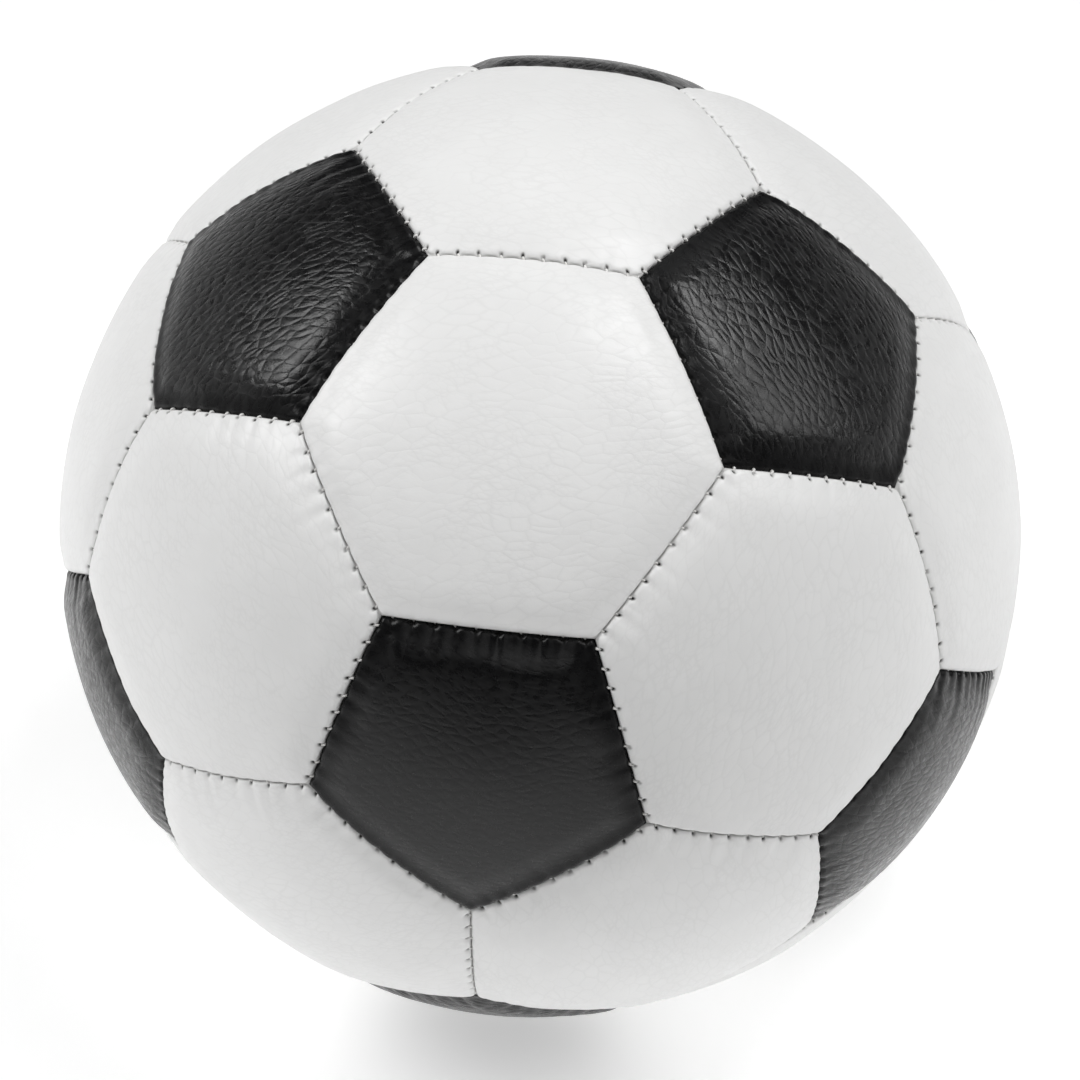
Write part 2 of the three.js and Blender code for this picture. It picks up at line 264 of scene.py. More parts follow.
class Panel:
    """One panel's outline and surface. Its plane is the tangent plane at its middle."""

    def __init__(self, plan, corners, seams, number):
        self.kind, self.number = plan["kind"], number
        keys = plan["corners"]
        self.points = np.array([corners[key] for key in keys])
        self.middle = unit(self.points.sum(axis=0))
        self.x_axis = unit(self.points[0] - self.middle * (self.points[0] @ self.middle))
        self.y_axis = np.cross(self.middle, self.x_axis)
        following = np.roll(self.points, -1, axis=0)
        self.side_middles = unit(self.points + following)
        self.side_along = unit(following - self.points)
        self.side_inward = unit(np.cross(self.points, following))
        self.seams = [seams[seam_key(a, b)] for a, b in zip(keys, keys[1:] + keys[:1])]
        own = np.random.default_rng(SEED * 1000 + number)
        sides = len(keys)
        upward = np.maximum(-self.side_inward[:, 2], 0)
        gather = own.uniform(0.3, 0.8, sides) * (1 + 1.7 * upward)
        gather *= 1.25 if self.kind == "pentagon" else 0.75
        gather *= [GATHER.get((number, side), 1) for side in range(sides)]
        self.pinch = own.uniform(0.6, 1.3, (sides, STITCHES)) * PINCH
        self.holes = [self.hole_places(side) for side in range(sides)]
        self.pleats = [self.make_pleats(own, side, gather[side]) for side in range(sides)]
        self.pull = np.array([PULLED_DOWN.get((number, side), 1.0) for side in range(sides)])
        self.offset = own.uniform(0, 200, 2)
        self.lean = math.radians(GRAIN_LEAN.get(number, own.uniform(0, 360)))
        self.has_valve = False

    def make_pleats(self, own, side, gather):
        """Rows of place along the seam, depth, length and width: one at each stitch, finer ones between."""
        seam = self.seams[side]
        half = seam["length"] / 2 - 1
        coarse = np.array([seam["stitches"], own.uniform(0.1, 0.34, STITCHES) * gather,
                           own.uniform(2.2, 6.5, STITCHES) * gather ** 0.7, own.uniform(0.7, 1.0, STITCHES)])
        fine = np.array([own.uniform(-half, half, FINE_PLEATS), own.uniform(0.0, 0.09, FINE_PLEATS) * gather,
                         own.uniform(1.5, 6.0, FINE_PLEATS), own.uniform(0.35, 0.6, FINE_PLEATS)])
        pleats = np.concatenate([coarse, fine], axis=1)
        pleats[2] *= PLEAT_LENGTH.get((self.number, side), 1.0)
        return pleats

    def flat(self, directions):
        """Directions projected onto the panel's plane, as multiples of the ball's radius."""
        scaled = directions / (directions @ self.middle)[..., None]
        return np.stack([scaled @ self.x_axis, scaled @ self.y_axis], axis=-1)

    def lift(self, flat):
        return unit(self.middle + flat[..., :1] * self.x_axis + flat[..., 1:] * self.y_axis)

    def side_places(self, directions):
        """For each point and side, the distance in from the seam, and along it in the seam's own sense."""
        inset = RADIUS * np.arcsin(np.clip(directions @ self.side_inward.T, -1, 1))
        along = RADIUS * np.arctan2(directions @ self.side_along.T, directions @ self.side_middles.T)
        sense = np.array([np.sign(a @ s["along"]) for a, s in zip(self.side_along, self.seams)])
        return inset, along * sense

    def hole_places(self, side):
        """A stitch shows its hole on the panel that was sewn on later."""
        seam = self.seams[side]
        return seam["stitches"] + seam["slant"] / 2 if seam["later_panel"] == self.number else np.zeros(0)

    def sewn_details(self, inset, along):
        """How far the stitches draw the edge in, and the depth of pleats, needle holes and ripples."""
        pinch, valley, pit, ripple = np.zeros((4, len(inset)))
        for side, seam in enumerate(self.seams):
            close = np.flatnonzero(inset[:, side] < SEAM_REACH)
            d = np.maximum(inset[close, side], 0)[:, None]
            x = along[close, side][:, None]
            gathered = np.exp(-((x - seam["stitches"][None, :]) / PINCH_WIDTH) ** 2)
            pinch[close] += (gathered * self.pinch[side]).sum(axis=1) * np.exp(-d[:, 0] / 1.6)
            place, deep, length, width = self.pleats[side][:, None, :]
            from_pleat = (x - place) / (width * (1 + 0.12 * d))
            fading = 1 - smoothstep((d[:, 0] - PLEATS_FADE[0]) / (PLEATS_FADE[1] - PLEATS_FADE[0]))
            valley[close] += (deep * np.exp(-d / length - from_pleat ** 2)).sum(axis=1) * fading
            from_hole = (x - self.holes[side][None, :]) / HOLE_RADIUS
            pit[close] += np.exp(-from_hole ** 2 - ((d - HOLE_INSET) / (1.5 * HOLE_RADIUS)) ** 2).sum(axis=1)
            uneven = noise(x[:, 0] / 1.3 + 31 * side, d[:, 0] / 7 + self.offset[0])
            ripple[close] += RIPPLE * uneven * np.exp(-d[:, 0] / RIPPLE_REACH)
        return pinch, valley, np.minimum(pit, 1), ripple

    def surface(self, directions):
        """For each direction, how far out the leather is, how far off the seam is, and how deep its hole."""
        inset, along = self.side_places(directions)
        nearest = inset.min(axis=1, keepdims=True)
        soft = nearest[:, 0] - CORNER_ROUNDING * np.log(
            np.exp(-(inset - nearest) / CORNER_ROUNDING).sum(axis=1))
        pinch, valley, pit, ripple = self.sewn_details(inset, along)
        depth = np.maximum(soft - pinch - SEAM_HALF_GAP, 0)
        flat = self.flat(directions) * RADIUS
        fold = 1 - np.minimum(depth, SHOULDER_REACH) / SHOULDER_REACH
        drop = SHOULDER_DROP * (1 - np.sqrt(np.maximum(1 - fold ** 2, 0)))
        start, slope, softness = ROLL[self.kind]
        nearness = np.exp((nearest - inset) / PULL_BLEND)
        slope = slope * (nearness @ self.pull) / nearness.sum(axis=1)
        start = start + ROLL_WANDER * noise(flat[:, 0] / 9 + self.offset[1], flat[:, 1] / 9 + self.offset[0])
        drop += slope * softness * np.log1p(np.exp((start - depth) / softness))
        drop -= EASE * EASE_SOFTNESS * np.log1p(np.exp((EASE_START - depth) / EASE_SOFTNESS))
        sway = SWAY * noise(flat[:, 0] / 17 + self.offset[0], flat[:, 1] / 17 + self.offset[1])
        sway *= smoothstep(soft / 12)
        radius = RADIUS - PANEL_CLEARANCE - drop - valley - HOLE_DEPTH * pit + ripple + sway
        if self.has_valve:
            from_rim = np.linalg.norm(flat, axis=1) - VALVE_HOLE_RADIUS
            rim = 1 - np.clip(from_rim / VALVE_RIM, 0, 1)
            radius -= 0.6 * VALVE_RIM * (1 - np.sqrt(1 - rim ** 2))
        return radius, soft, pit

    def grain_places(self, directions):
        """Coordinates in millimetres for the leather's grain, with Y along it, offset for each panel."""
        flat = self.flat(directions) * RADIUS
        up = unit(UP - self.middle * (UP @ self.middle))
        grain = up * math.cos(self.lean) + np.cross(self.middle, up) * math.sin(self.lean)
        turn = math.pi / 2 - math.atan2(grain @ self.y_axis, grain @ self.x_axis)
        cosine, sine = math.cos(turn), math.sin(turn)
        turned = flat @ np.array([[cosine, sine], [-sine, cosine]])
        return np.column_stack([turned + 200 + self.offset, np.full(len(flat), self.number * 7.3)])


# ---- A panel's mesh ----

def half_side_steps(steps, crowding):
    """Places from a side's middle, 0, to its corner, 1, closer together where the stitches are."""
    u = np.linspace(0, 1, steps + 1)
    waves = 2 * math.pi * STITCHES / 2
    return u - crowding * np.sin(waves * u) / waves


def kite_grid(panel, steps, places, hole_steps=0):
    """The panel cut into one kite for each corner.

    Returns flat points for a panel of full size, quads, the outer ring and the hole's ring.
    """
    sides = len(panel.points)
    corner, middle = panel.flat(panel.points), panel.flat(panel.side_middles)
    before = np.roll(middle, 1, axis=0)
    a, b = np.meshgrid(np.arange(steps + 1), np.arange(steps + 1), indexing="ij")
    row = steps + 1
    wa, wb = places[a][..., None], places[b][..., None]
    points, index = [np.zeros(2)], np.zeros((sides, row, row), int)
    for i in range(sides):
        at = wa * (1 - wb) * before[i] + wa * wb * corner[i] + (1 - wa) * wb * middle[i]
        index[i, 1:] = 1 + i * steps * row + np.arange(steps * row).reshape(steps, row)
        points.extend(at[1:].reshape(-1, 2))
    for i in range(sides):
        index[i, 0, 1:] = index[(i + 1) % sides, 1:, 0]
    quads = np.stack([index[:, :-1, :-1], index[:, 1:, :-1], index[:, 1:, 1:], index[:, :-1, 1:]], axis=-1)
    kept = (np.maximum(a, b) >= hole_steps)[:-1, :-1]
    points = np.array(points)
    if hole_steps:
        points = round_hole(points, index, places, steps, hole_steps)
    ring = lambda n: np.concatenate([[*index[i, n, :n], *index[i, n:0:-1, n]] for i in range(sides)])
    return points, quads[:, kept].reshape(-1, 4), ring(steps), ring(hole_steps) if hole_steps else None


def round_hole(points, index, places, steps, hole_steps):
    """Moves the grid's inner rings, which follow the panel's outline, onto circles round the hole."""
    blend_steps = round(HOLE_BLEND_STEPS * steps / STEPS)
    moved = points.copy()
    for n in range(hole_steps, blend_steps):
        on_ring = np.unique(np.concatenate([index[:, n, : n + 1].ravel(), index[:, : n + 1, n].ravel()]))
        share = (n - hole_steps) / (blend_steps - hole_steps)
        outer = np.linalg.norm(points[index[0, blend_steps, 0]])
        circle = VALVE_HOLE_RADIUS / RADIUS + (outer - VALVE_HOLE_RADIUS / RADIUS) * share ** 1.8
        blend = smoothstep(share)
        round_points = unit(points[on_ring]) * circle
        moved[on_ring] = round_points * (1 - blend) + points[on_ring] * blend
    return moved


def share_at(panel, inset):
    reach = math.acos(np.clip(panel.middle @ panel.side_middles[0], -1, 1))
    return math.tan(reach - math.asin(inset / RADIUS)) / math.tan(reach)


def strip(near, far):
    """Quads between two rings of the same length."""
    return np.stack([near, far, np.roll(far, -1), np.roll(near, -1)], axis=-1)


def join_rings(fine, coarse):
    """Faces between a fine ring and a coarse one that starts at the same column."""
    stride = len(fine) // len(coarse)
    along = (np.arange(len(coarse))[:, None] * stride + np.arange(stride + 1)) % len(fine)
    return np.column_stack([fine[along][:, ::-1], coarse, np.roll(coarse, -1)])


def build_panel(panel, material):
    places = half_side_steps(STEPS, STEP_CROWDING)
    hole = HOLE_STEPS if panel.has_valve else 0
    flat, quads, ring, hole_ring = kite_grid(panel, STEPS, places, hole)
    outline = flat[ring]
    faces = [quads]
    scale = share_at(panel, CORE_INSET)
    if panel.has_valve:  # the hole keeps its size while the rest of the core shrinks
        scale = 1 + (scale - 1) * smoothstep(np.linalg.norm(flat, axis=1) * RADIUS / 20)[:, None]
    directions = [panel.lift(flat * scale)]
    count, previous = len(flat), ring
    for inset in (*BAND_INSETS, SEAM_HALF_GAP):
        directions.append(panel.lift(outline * share_at(panel, inset)))
        following = np.arange(count, count + len(ring))
        faces.append(strip(previous, following))
        count, previous = count + len(ring), following
    directions = np.concatenate(directions)
    radius, seam, pit = panel.surface(directions)
    grain = panel.grain_places(directions)
    points = [directions * radius[:, None]]
    under = []

    def add_ring(inset, radius, base):
        nonlocal count
        under.append(panel.lift(base * share_at(panel, inset)) * radius)
        count += len(base)
        return np.arange(count - len(base), count)

    for depth in (*FLANGE_STEPS, FLANGE_DEPTH):
        following = add_ring(SEAM_HALF_GAP, RADIUS - depth, outline)
        faces.append(strip(previous, following))
        previous = following
    even = np.linspace(0, 1, COARSE_STEPS + 1)
    coarse_flat, coarse_quads, coarse_ring, coarse_hole = kite_grid(panel, COARSE_STEPS, even, min(hole, 1))
    coarse_outline = coarse_flat[coarse_ring]
    root = add_ring(SEAM_HALF_GAP + FLANGE_THICKNESS, RADIUS - FLANGE_DEPTH, coarse_outline)
    faces.append(join_rings(previous, root))
    inner_radius = RADIUS - LAMINATE - LINING_GAP
    start = count
    inner = panel.lift(coarse_flat * share_at(panel, LINING_INSET)) * inner_radius
    under.append(inner)
    count += len(inner)
    faces.append(strip(root, start + coarse_ring))
    faces.append(start + coarse_quads[:, ::-1])
    if panel.has_valve:
        rim = directions[hole_ring]
        wall = np.arange(count, count + len(hole_ring))
        under.append(rim * inner_radius)
        count += len(hole_ring)
        faces.append(strip(wall, hole_ring))
        faces.append(join_rings(wall, start + coarse_hole)[:, ::-1])
    points = np.concatenate(points + under)
    extra = len(points) - len(directions)
    attributes = {
        "grain_mm": ("FLOAT_VECTOR", np.concatenate([grain, np.zeros((extra, 3))])),
        "seam_mm": ("FLOAT", np.concatenate([seam, np.zeros(extra)])),
        "needle_hole": ("FLOAT", np.concatenate([pit, np.zeros(extra)])),
        "creased": ("FLOAT", np.full(len(points), CREASED.get(panel.number, 1.0))),
    }
    return new_object(f"{panel.kind}_leather_{panel.number:02d}", points, faces, material, attributes)


# ---- Thread ----

def smooth_path(points, steps):
    """A Catmull-Rom curve through the points."""
    padded = np.vstack([2 * points[0] - points[1], points, 2 * points[-1] - points[-2]])
    t = np.linspace(0, 1, steps, endpoint=False)[:, None]
    parts = []
    for p0, p1, p2, p3 in zip(padded, padded[1:], padded[2:], padded[3:]):
        parts.append(0.5 * (2 * p1 + (p2 - p0) * t + (2 * p0 - 5 * p1 + 4 * p2 - p3) * t ** 2
                            + (3 * p1 - p0 - 3 * p2 + p3) * t ** 3))
    return np.vstack(parts + [points[-1:]])


class ThreadMesh:
    """Gathers twisted two-ply strands into one mesh."""

    SIDES = 8
    LAY = 1.5  # the length of one turn of the twist
    PLY = 0.1  # how far the two plies stand out

    def __init__(self):
        self.points, self.quads, self.caps, self.count = [], [], [], 0

    def add(self, path, radius, start_turn=0.0):
        along = unit(np.gradient(path, axis=0))
        up = unit(path)
        across = unit(np.cross(along, up))
        up = np.cross(across, along)
        travelled = np.concatenate([[0], np.cumsum(np.linalg.norm(np.diff(path, axis=0), axis=1))])
        angle = np.arange(self.SIDES) * 2 * math.pi / self.SIDES
        twist = travelled[:, None] * 2 * math.pi / self.LAY + start_turn
        size = radius * (1 + self.PLY * np.cos(2 * angle[None] - twist))
        ring = (path[:, None] + across[:, None] * (size * np.cos(angle))[..., None]
                + up[:, None] * (size * np.sin(angle))[..., None])
        index = self.count + np.arange(len(path) * self.SIDES).reshape(len(path), self.SIDES)
        self.points.append(ring.reshape(-1, 3))
        here, there = index[:-1], index[1:]
        quads = np.stack([here, there, np.roll(there, -1, 1), np.roll(here, -1, 1)], axis=-1)
        self.quads.append(quads.reshape(-1, 4))
        self.caps += [index[0], index[-1][::-1]]
        self.count += index.size

    def build(self, name, material):
        faces = [np.concatenate(self.quads), np.array(self.caps)]
        return new_object(name, np.concatenate(self.points), faces, material)


def at_seam(seam, along, inset):
    """The direction at a place along a seam, and inset to its left."""
    on_arc = seam["middle"] * math.cos(along / RADIUS) + seam["along"] * math.sin(along / RADIUS)
    return unit(on_arc * math.cos(inset / RADIUS) + seam["left"] * math.sin(inset / RADIUS))


def add_seam_thread(thread, seam, panels):
    """The strands that cross the seam, each from its hole over the fold and down beside the other panel."""
    later = next(panel for panel in panels if panel.number == seam["later_panel"])
    sense = np.sign(later.middle @ seam["left"])
    for place in seam["stitches"]:
        start = place + seam["slant"] / 2
        along = start - seam["slant"] * np.array(STITCH_TRAVEL)
        spots = np.array([at_seam(seam, x, sense * d) for x, d in zip(along, STITCH_INSETS)])
        radius = later.surface(spots)[0]
        radius[3:] = radius[2]  # past the seam's middle it keeps to the near side's height
        thread.add(smooth_path(spots * (radius + STITCH_RISES)[:, None], 4), THREAD_RADIUS, place)


# ---- Materials ----

class Nodes:
    """A short way to write a material's nodes."""

    def __init__(self, name):
        self.material = bpy.data.materials.new(name)
        self.material.use_nodes = True
        self.tree = self.material.node_tree
        self.shader = self.tree.nodes["Principled BSDF"]

    def new(self, kind, settings=None, **inputs):
        node = self.tree.nodes.new(kind)
        for key, value in (settings or {}).items():
            setattr(node, key, value)
        for key, value in inputs.items():
            self.put(node.inputs[key.replace("_", " ")], value)
        return node

    def put(self, socket, value):
        if isinstance(value, bpy.types.NodeSocket):
            self.tree.links.new(value, socket)
        else:
            socket.default_value = value

    def in_order(self, kind, settings, values):
        """A new node's first output, its inputs filled in order."""
        node = self.new(kind, settings)
        for socket, value in zip(node.inputs, values):
            self.put(socket, value)
        return node.outputs[0]

    def math(self, operation, *values):
        return self.in_order("ShaderNodeMath", {"operation": operation}, values)

    def vector_math(self, operation, *values):
        return self.in_order("ShaderNodeVectorMath", {"operation": operation}, values)

    def ramp(self, value, low, high, to_low=0.0, to_high=1.0):
        ends = (low, high, to_low, to_high)
        return self.in_order("ShaderNodeMapRange", {"interpolation_type": "SMOOTHSTEP"}, (value, *ends))

    def noise(self, vector, scale, detail=2.0, roughness=0.5):
        return self.new("ShaderNodeTexNoise", Vector=vector, Scale=scale, Detail=detail, Roughness=roughness)

    def attribute(self, name):
        return self.new("ShaderNodeAttribute", {"attribute_name": name})

    def place_in_mm(self):
        position = self.new("ShaderNodeTexCoord").outputs["Object"]
        return self.vector_math("MULTIPLY", position, (1 / MM,) * 3)

    def mix(self, share, a, b):
        node = self.new("ShaderNodeMix", {"data_type": "RGBA"})
        self.put(node.inputs[0], share)
        self.put(node.inputs[6], a)
        self.put(node.inputs[7], b)
        return node.outputs[2]

    def bump(self, height, metres_per_unit=MM):
        return self.new("ShaderNodeBump", Strength=1.0, Distance=metres_per_unit, Height=height).outputs[0]


def leather(name, colour, deep_colour, roughness, specular, edge_specular, crease_depth, crease_width, cell):
    """Coated leather: a net of creases round lens-shaped cells, finer wrinkles, and a pebbled grain."""
    n = Nodes(name)
    place = n.attribute("grain_mm").outputs["Vector"]
    seam = n.attribute("seam_mm").outputs["Fac"]
    hole = n.attribute("needle_hole").outputs["Fac"]

    def wandering(scale, amount):
        away = n.vector_math("SUBTRACT", n.noise(place, scale).outputs["Color"], (0.5, 0.5, 0.5))
        return n.vector_math("MULTIPLY", away, (amount, amount, 0.0))

    bent = n.vector_math("ADD", n.vector_math("ADD", place, wandering(0.04, 9.0)), wandering(0.3, 0.6))

    def turned(vector, angle):
        node = n.new("ShaderNodeVectorRotate", {"rotation_type": "Z_AXIS"}, Vector=vector, Angle=angle)
        return node.outputs[0]

    def crease(turn, across, along, width, unevenness=0.75):
        """1 on the flat of a cell, 0 in a crease, which is width millimetres wide on each side."""
        scaled = n.vector_math("MULTIPLY", turned(bent, turn), (1 / across, 1 / along, 0.0))
        cells = n.new("ShaderNodeTexVoronoi", {"feature": "DISTANCE_TO_EDGE", "voronoi_dimensions": "2D"},
                      Vector=turned(scaled, math.pi / 4), Scale=1.0, Randomness=unevenness)
        rise = n.new("ShaderNodeMapRange", Value=cells.outputs["Distance"])
        rise.inputs["From Max"].default_value = width / across
        return n.math("POWER", rise.outputs[0], 0.6)

    def patchy(value, scale, least):
        """Lets creases fade out in places: 1 where there are none."""
        share = n.ramp(n.noise(place, scale).outputs["Fac"], 0.35, 0.6, least, 1.0)
        return n.math("SUBTRACT", 1.0, n.math("MULTIPLY", share, n.math("SUBTRACT", 1.0, value)))

    wide = patchy(crease(0.0, 1.9 * cell, 4.2 * cell, crease_width), 0.05, 0.75)
    second = patchy(crease(0.25, 0.9 * cell, 1.7 * cell, 0.5 * crease_width), 0.08, 0.1)
    pebble = crease(0.0, 0.5, 0.6, 0.16, 1.0)
    pores = n.noise(place, 3.2, 2.0).outputs["Fac"]
    soft = n.noise(place, 0.5, 2.0).outputs["Fac"]
    height = n.math("MULTIPLY", wide, crease_depth)
    for part, share in ((second, 0.3), (pebble, 0.1), (pores, 0.1), (soft, 0.45)):
        height = n.math("ADD", height, n.math("MULTIPLY", part, crease_depth * share))
    stretched = n.ramp(seam, 2.0, 5.5, 0.3, 1.0)
    height = n.math("MULTIPLY", height, n.math("MULTIPLY", stretched, n.attribute("creased").outputs["Fac"]))
    n.put(n.shader.inputs["Normal"], n.bump(height))
    # Painted shade: the leather darkens deep in the seam's groove and round the needle holes.
    painted_groove_shade = n.math("MAXIMUM", n.ramp(seam, 0.1, 0.4, 0.5, 0.0), n.ramp(hole, 0.05, 0.4, 0.0, 0.45))
    # Painted shade along the crease lines; the same mask also makes them rougher.
    lines = n.ramp(n.math("MULTIPLY", wide, second), 0.0, 0.6, 0.08, 0.0)
    mottled = n.ramp(n.noise(place, 0.12, 4.0).outputs["Fac"], 0.3, 0.7, 0.0, 0.04)
    # The tone goes towards deep_colour by that painted shade, the painted crease shade and a random mottle.
    shade = n.math("MAXIMUM", painted_groove_shade, n.math("MAXIMUM", lines, mottled))
    tone = n.mix(shade, (*colour, 1), (*deep_colour, 1))
    # Painted shade: the needle holes are painted near-black.
    n.put(n.shader.inputs["Base Color"], n.mix(n.ramp(hole, 0.2, 0.75), tone, (0.012, 0.011, 0.01, 1)))
    gloss = n.ramp(n.noise(place, 0.5, 3.0).outputs["Fac"], 0.3, 0.7, roughness - 0.05, roughness + 0.07)
    n.put(n.shader.inputs["Roughness"], n.math("ADD", gloss, n.math("MULTIPLY", lines, 0.5)))
    n.put(n.shader.inputs["Specular IOR Level"], n.ramp(seam, 2.0, 7.0, edge_specular, specular))
    return n.material


def rubber(name, colour, roughness, speckle):
    """Moulded or dipped rubber, with a bloom of talc that lies in patches."""
    n = Nodes(name)
    place = n.place_in_mm()
    bloom = n.noise(place, 0.15, 4.0).outputs["Fac"]
    n.put(n.shader.inputs["Base Color"],
          n.mix(n.ramp(bloom, 0.4, 0.75, 0.0, speckle), (*colour, 1), (0.35, 0.35, 0.34, 1)))
    n.put(n.shader.inputs["Roughness"], n.ramp(bloom, 0.3, 0.7, roughness, roughness + 0.2))
    height = n.math("ADD", n.noise(place, 2.5, 3.0).outputs["Fac"], n.noise(place, 0.3).outputs["Fac"])
    n.put(n.shader.inputs["Normal"], n.bump(height, 0.00004))
    return n.material


def waxed_thread(name):
    """Pale waxed thread, its fibres running round with the twist."""
    n = Nodes(name)
    place = n.place_in_mm()
    fibre = n.noise(n.vector_math("MULTIPLY", place, (6.0, 6.0, 2.0)), 1.0, 3.0).outputs["Fac"]
    soil = n.noise(place, 0.35, 2.0).outputs["Fac"]
    light = n.mix(n.ramp(soil, 0.35, 0.7, 0.0, 0.3), (0.88, 0.875, 0.86, 1), (0.55, 0.54, 0.51, 1))
    shade = n.ramp(fibre, 0.3, 0.7, 0.0, 0.2)
    n.put(n.shader.inputs["Base Color"], n.mix(shade, light, (0.35, 0.34, 0.32, 1)))
    n.put(n.shader.inputs["Roughness"], n.ramp(fibre, 0.3, 0.7, 0.45, 0.7))
    n.put(n.shader.inputs["Normal"], n.bump(fibre, 0.00006))
    return n.material


def lining_cloth(name):
    """Plain woven cotton."""
    n = Nodes(name)
    place = n.place_in_mm()
    warp, weft = (n.new("ShaderNodeTexWave", {"bands_direction": axis}, Vector=place, Scale=0.55)
                  for axis in "XZ")
    weave = n.math("MULTIPLY", warp.outputs["Fac"], weft.outputs["Fac"])
    n.put(n.shader.inputs["Base Color"], n.mix(weave, (0.42, 0.37, 0.28, 1), (0.66, 0.6, 0.49, 1)))
    n.put(n.shader.inputs["Roughness"], n.ramp(weave, 0.0, 1.0, 0.95, 0.8))
    n.put(n.shader.inputs["Normal"], n.bump(weave, 0.0002))
    return n.material


white_leather = leather(
    "white_leather", colour=(0.84, 0.84, 0.835), deep_colour=(0.36, 0.355, 0.345), roughness=0.34,
    specular=0.45, edge_specular=0.35, crease_depth=0.034, crease_width=1.0, cell=1.35)
black_leather = leather(
    "black_leather", colour=(0.004, 0.004, 0.0043), deep_colour=(0.003, 0.003, 0.003), roughness=0.27,
    specular=0.42, edge_specular=0.22, crease_depth=0.1, crease_width=0.75, cell=1.0)
thread_material = waxed_thread("seam_thread")
bladder_material = rubber("bladder_rubber", (0.02, 0.02, 0.022), 0.5, 0.5)
valve_material = rubber("valve_rubber", (0.035, 0.035, 0.037), 0.4, 0.12)
lining_material = lining_cloth("lining_cloth")


# ---- The pieces ----

def node_direction(node):
    points = np.array([v.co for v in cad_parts[node].data.vertices])
    return unit(points.mean(axis=0))


LEATHERS = {"pentagon": ("black_leather", black_leather), "hexagon": ("white_leather", white_leather)}


def dress_panels(panels):
    names = [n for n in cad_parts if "pentagon_panel" in n or "hexagon_panel" in n]
    middles = {n: node_direction(n) for n in names}
    for panel in panels:
        node = max(names, key=lambda n: middles[n] @ panel.middle)
        panel.has_valve = node == VALVE_NODE
        slot, material = LEATHERS[panel.kind]
        piece = build_panel(panel, material)
        piece.name = node.replace("panel", "leather")
        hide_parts(node)
        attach(piece, BODY)


def dress_seams(panels, seams):
    """The stitching of each seam goes with the CAD thread that lies in it."""
    nodes = sorted(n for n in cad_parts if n.startswith("seam_thread"))
    runs = {n: np.array([v.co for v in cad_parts[n].data.vertices]) / MM for n in nodes}
    threads = {n: ThreadMesh() for n in nodes}
    for seam in seams.values():
        sides = [p for p in panels if any(s is seam for s in p.seams)]
        middle = seam["middle"] * RADIUS
        node = min(nodes, key=lambda n: np.linalg.norm(runs[n] - middle, axis=1).min())
        add_seam_thread(threads[node], seam, sides)
    for node, thread in threads.items():
        piece = thread.build(node.replace("seam_thread", "stitching"), thread_material)
        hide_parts(node)
        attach(piece, BODY)


def dome(radius, start, end):
    """Points on a sphere round the ball's centre, from one distance off the valve's axis to another."""
    across = np.linspace(start, end, 9)
    return [(a, math.sqrt(radius ** 2 - a ** 2)) for a in across]


def valve_outline():
    outline = []
    for point in VALVE_BODY:
        if point == "bottom":
            outline += dome(VALVE_FLANGE_BOTTOM, 5.5, VALVE_FLANGE_RADIUS)
        elif point == "top":
            outline += dome(VALVE_FLANGE_TOP, VALVE_FLANGE_RADIUS, 2.8)
        else:
            outline.append(point)
    return np.array(outline)


def rounded(outline, radius, steps=5):
    """A closed outline with its sharp corners rounded."""
    points = []
    for before, corner, after in zip(np.roll(outline, 1, axis=0), outline, np.roll(outline, -1, axis=0)):
        reach = [min(radius, 0.45 * np.linalg.norm(p - corner)) for p in (before, after)]
        start, end = (corner + r * unit(p - corner) for r, p in zip(reach, (before, after)))
        t = np.linspace(0, 1, steps)[:, None]
        points.append((1 - t) ** 2 * start + 2 * t * (1 - t) * corner + t ** 2 * end)
    return np.concatenate(points)


def dress_valve(panel):
    outline = rounded(valve_outline(), 0.35)
    turn = np.arange(VALVE_SEGMENTS) * 2 * math.pi / VALVE_SEGMENTS
    round_axis = np.cos(turn)[:, None] * panel.x_axis + np.sin(turn)[:, None] * panel.y_axis
    points = outline[:, None, :1] * round_axis[None] + outline[:, None, 1:] * panel.middle
    rings = np.arange(len(outline) * VALVE_SEGMENTS).reshape(len(outline), VALVE_SEGMENTS)
    faces = np.concatenate([strip(a, b) for a, b in zip(rings, np.roll(rings, -1, axis=0))])
    piece = new_object("valve_body_moulding", points.reshape(-1, 3), [faces[:, ::-1]], valve_material)
    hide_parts("valve_body")
    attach(piece, BODY)


def finish_inside():
    """The bladder, the valve's core and the patches keep their CAD shapes."""
    materials = {
        "bladder": bladder_material, "bladder_valve_patch": bladder_material,
        "valve_core": valve_material, "panel_valve_patch": lining_material,
    }
    for node, material in materials.items():
        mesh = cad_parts[node].data
        mesh.materials.clear()
        mesh.materials.append(material)


plans, corner_directions = layout()
all_seams = make_seams(plans, corner_directions)
all_panels = [Panel(plan, corner_directions, all_seams, i + 1) for i, plan in enumerate(plans)]
dress_panels(all_panels)
dress_seams(all_panels, all_seams)
dress_valve(next(panel for panel in all_panels if panel.has_valve))
finish_inside()


# ---- Stage, lights and camera ----

FLOOR_RADIUS, WALL_HEIGHT, WALL_CURVE = 5.0, 1.1, 0.8  # metres
WALL_STARTS, WALL_FULL = -4.0, -2.0  # along Y: there is no wall at the front
FLOOR_RINGS = (0.05, 1.0, 3.0)
STAGE_SEGMENTS = 96
GLOW_NEAR, GLOW_FAR = 0.42, 0.5  # the floor's own light, which keeps it pale far from the lamps
GLOW_IN_FRONT = 0.4  # the share of that light in front of the ball


